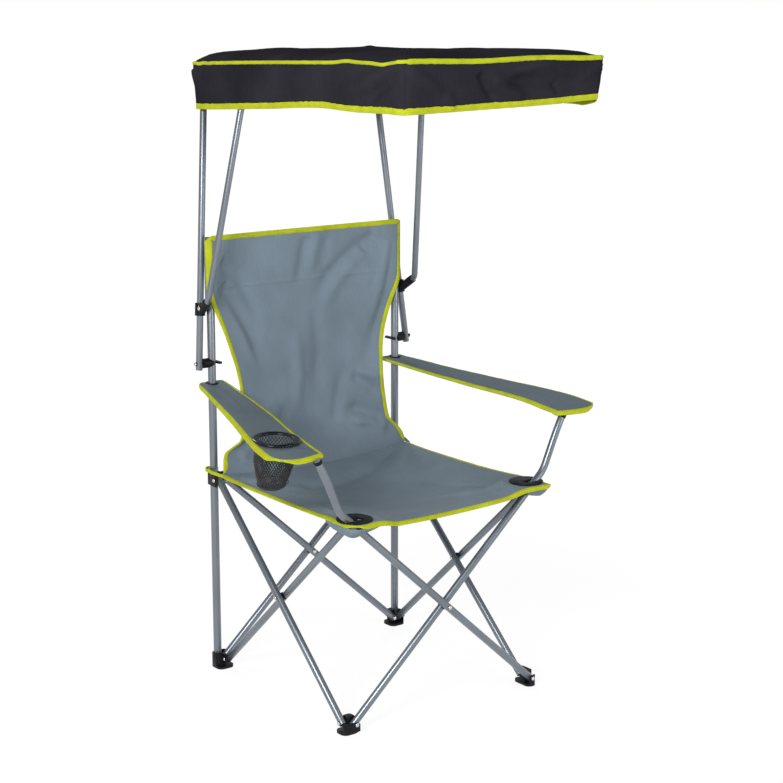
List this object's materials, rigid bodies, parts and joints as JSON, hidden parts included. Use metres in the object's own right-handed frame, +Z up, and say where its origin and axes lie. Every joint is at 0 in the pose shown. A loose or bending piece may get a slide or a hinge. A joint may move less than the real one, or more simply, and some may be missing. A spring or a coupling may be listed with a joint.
{
  "type": "folding chair with canopy",
  "caption": "Folding camp chair on a collapsible tube frame, with a sling seat and back, cloth armrests, a net cup holder and a tilting canopy on hinged poles.",
  "frame": {"origin": "on the floor under the middle of the whole chair's box", "axes": "+Z up, +X to the sitter's left, and the sitter faces -Y"},
  "size_m": [0.8446, 0.7632, 1.392],
  "materials": {
    "silver_steel": "satin silver powder coat",
    "black_plastic": "satin moulded plastic",
    "rivet_steel": "plated",
    "slate_cloth": "plain-weave polyester, slate grey, lime edge binding",
    "black_cloth": "plain-weave polyester, charcoal black, lime edge binding",
    "black_net": "open black mesh"
  },
  "bodies": {
    "right_post": {"right_post": "silver_steel", "right_rear_foot": "black_plastic", "right_rear_foot_side_pin": "rivet_steel", "right_rear_foot_cross_pin": "rivet_steel", "right_spacer": "black_plastic", "right_wing_bolt": "black_plastic", "seat": "slate_cloth", "back": "slate_cloth", "right_armrest": "slate_cloth"},
    "rear_leg_a": {"rear_tube_from_right": "silver_steel", "rear_rivet": "rivet_steel"},
    "rear_leg_b": {"rear_tube_from_left": "silver_steel"},
    "right_slider": {"right_slider": "black_plastic", "right_rear_hub_side_pin": "rivet_steel", "right_rear_hub_cross_pin": "rivet_steel"},
    "left_post": {"left_post": "silver_steel", "left_rear_foot": "black_plastic", "left_rear_foot_side_pin": "rivet_steel", "left_rear_foot_cross_pin": "rivet_steel", "left_spacer": "black_plastic", "left_wing_bolt": "black_plastic", "left_armrest": "slate_cloth"},
    "left_slider": {"left_slider": "black_plastic", "left_rear_hub_side_pin": "rivet_steel", "left_rear_hub_cross_pin": "rivet_steel"},
    "right_side_rising": {"right_side_tube_rising": "silver_steel", "right_side_rivet": "rivet_steel"},
    "right_side_falling": {"right_side_tube_falling": "silver_steel"},
    "right_front_foot": {"right_front_foot": "black_plastic", "right_front_foot_side_pin": "rivet_steel", "right_front_foot_cross_pin": "rivet_steel"},
    "right_front_hub": {"right_front_hub": "black_plastic", "right_front_hub_side_pin": "rivet_steel", "right_front_hub_cross_pin": "rivet_steel", "cup_ring": "black_plastic", "cup_net": "black_net"},
    "front_leg_a": {"front_tube_from_right": "silver_steel", "front_rivet": "rivet_steel"},
    "front_leg_b": {"front_tube_from_left": "silver_steel"},
    "left_front_foot": {"left_front_foot": "black_plastic", "left_front_foot_side_pin": "rivet_steel", "left_front_foot_cross_pin": "rivet_steel"},
    "left_front_hub": {"left_front_hub": "black_plastic", "left_front_hub_side_pin": "rivet_steel", "left_front_hub_cross_pin": "rivet_steel"},
    "left_side_rising": {"left_side_tube_rising": "silver_steel", "left_side_rivet": "rivet_steel"},
    "left_side_falling": {"left_side_tube_falling": "silver_steel"},
    "right_pole": {"right_pole": "silver_steel"},
    "left_pole": {"left_pole": "silver_steel"},
    "right_rail": {"right_rail": "silver_steel", "canopy": "black_cloth"},
    "left_rail": {"left_rail": "silver_steel"},
    "right_brace": {"right_bracket": "black_plastic", "right_brace": "silver_steel"},
    "left_brace": {"left_bracket": "black_plastic", "left_brace": "silver_steel"}
  },
  "joints": [
    {"name": "frame_fold", "type": "hinge", "parent": "right_post", "child": "rear_leg_a", "pos_m": [-0.235, 0.3206, 0.02], "axis": [0, -1, 0], "range_deg": [0, 41], "deforming": ["seat", "back", "right_armrest", "left_armrest", "canopy"]},
    {"name": "rear_crossing", "type": "hinge", "parent": "rear_leg_a", "child": "rear_leg_b", "pos_m": [0, 0.312, 0.2325], "axis": [0, -1, 0], "range_deg": [-82, 0]},
    {"name": "right_slider_pivot", "type": "hinge", "parent": "rear_leg_b", "child": "right_slider", "pos_m": [-0.235, 0.3034, 0.445], "axis": [0, -1, 0], "range_deg": [0, 41]},
    {"name": "left_rear_foot_pivot", "type": "hinge", "parent": "rear_leg_b", "child": "left_post", "pos_m": [0.235, 0.3034, 0.02], "axis": [0, -1, 0], "range_deg": [0, 41]},
    {"name": "left_slider_pivot", "type": "hinge", "parent": "rear_leg_a", "child": "left_slider", "pos_m": [0.235, 0.3206, 0.445], "axis": [0, -1, 0], "range_deg": [-41, 0]},
    {"name": "right_side_pivot", "type": "hinge", "parent": "right_post", "child": "right_side_rising", "pos_m": [-0.2354, 0.302, 0.02], "axis": [-1, 0, 0], "range_deg": [0, 41]},
    {"name": "right_side_crossing", "type": "hinge", "parent": "right_side_rising", "child": "right_side_falling", "pos_m": [-0.244, 0.067, 0.2325], "axis": [-1, 0, 0], "range_deg": [-82, 0]},
    {"name": "right_front_foot_pivot", "type": "hinge", "parent": "right_side_falling", "child": "right_front_foot", "pos_m": [-0.2526, -0.168, 0.02], "axis": [-1, 0, 0], "range_deg": [0, 41]},
    {"name": "right_front_hub_pivot", "type": "hinge", "parent": "right_side_rising", "child": "right_front_hub", "pos_m": [-0.2354, -0.168, 0.445], "axis": [-1, 0, 0], "range_deg": [-41, 0]},
    {"name": "front_leg_pivot", "type": "hinge", "parent": "right_front_foot", "child": "front_leg_a", "pos_m": [-0.235, -0.1858, 0.02], "axis": [0, -1, 0], "range_deg": [0, 41]},
    {"name": "front_crossing", "type": "hinge", "parent": "front_leg_a", "child": "front_leg_b", "pos_m": [0, -0.1944, 0.2325], "axis": [0, -1, 0], "range_deg": [-82, 0]},
    {"name": "left_front_foot_pivot", "type": "hinge", "parent": "front_leg_b", "child": "left_front_foot", "pos_m": [0.235, -0.203, 0.02], "axis": [0, -1, 0], "range_deg": [0, 41]},
    {"name": "left_front_hub_pivot", "type": "hinge", "parent": "front_leg_a", "child": "left_front_hub", "pos_m": [0.235, -0.1858, 0.445], "axis": [0, -1, 0], "range_deg": [-41, 0]},
    {"name": "left_side_pivot", "type": "hinge", "parent": "left_post", "child": "left_side_rising", "pos_m": [0.2526, 0.302, 0.02], "axis": [-1, 0, 0], "range_deg": [0, 41]},
    {"name": "left_side_crossing", "type": "hinge", "parent": "left_side_rising", "child": "left_side_falling", "pos_m": [0.244, 0.067, 0.2325], "axis": [-1, 0, 0], "range_deg": [-82, 0]},
    {"name": "canopy_swing", "type": "hinge", "parent": "right_post", "child": "right_pole", "pos_m": [-0.286, 0.32107, 0.71], "axis": [-1, 0, 0], "range_deg": [0, 165]},
    {"name": "canopy_tilt", "type": "hinge", "parent": "right_pole", "child": "right_rail", "pos_m": [-0.23049, 0.36801, 1.32], "axis": [1, 0, 0], "range_deg": [-4, 12]},
    {"name": "right_bracket_slide", "type": "slide", "parent": "right_pole", "child": "right_brace", "axis": [0.0904, 0.0764, 0.993], "range_m": [-0.04, 0.015]},
    {"name": "left_pole_swing", "type": "hinge", "parent": "left_post", "child": "left_pole", "pos_m": [0.286, 0.32107, 0.71], "axis": [-1, 0, 0], "range_deg": [0, 165]},
    {"name": "left_rail_tilt", "type": "hinge", "parent": "left_pole", "child": "left_rail", "pos_m": [0.23049, 0.36801, 1.32], "axis": [1, 0, 0], "range_deg": [-4, 12]},
    {"name": "left_bracket_slide", "type": "slide", "parent": "left_pole", "child": "left_brace", "axis": [-0.0904, 0.0764, 0.993], "range_m": [-0.04, 0.015]}
  ],
  "couplings": [
    {"joint": "rear_crossing", "follows": "frame_fold", "ratio": -2},
    {"joint": "right_slider_pivot", "follows": "frame_fold", "ratio": 1},
    {"joint": "left_rear_foot_pivot", "follows": "frame_fold", "ratio": 1},
    {"joint": "left_slider_pivot", "follows": "frame_fold", "ratio": -1},
    {"joint": "right_side_pivot", "follows": "frame_fold", "ratio": 1},
    {"joint": "right_side_crossing", "follows": "frame_fold", "ratio": -2},
    {"joint": "right_front_foot_pivot", "follows": "frame_fold", "ratio": 1},
    {"joint": "right_front_hub_pivot", "follows": "frame_fold", "ratio": -1},
    {"joint": "front_leg_pivot", "follows": "frame_fold", "ratio": 1},
    {"joint": "front_crossing", "follows": "frame_fold", "ratio": -2},
    {"joint": "left_front_foot_pivot", "follows": "frame_fold", "ratio": 1},
    {"joint": "left_front_hub_pivot", "follows": "frame_fold", "ratio": -1},
    {"joint": "left_side_pivot", "follows": "frame_fold", "ratio": 1},
    {"joint": "left_side_crossing", "follows": "frame_fold", "ratio": -2},
    {"joint": "right_bracket_slide", "follows": "canopy_tilt", "m_per_rad": -0.177},
    {"joint": "left_pole_swing", "follows": "canopy_swing", "ratio": 1},
    {"joint": "left_rail_tilt", "follows": "canopy_tilt", "ratio": 1},
    {"joint": "left_bracket_slide", "follows": "canopy_tilt", "m_per_rad": -0.177}
  ]
}
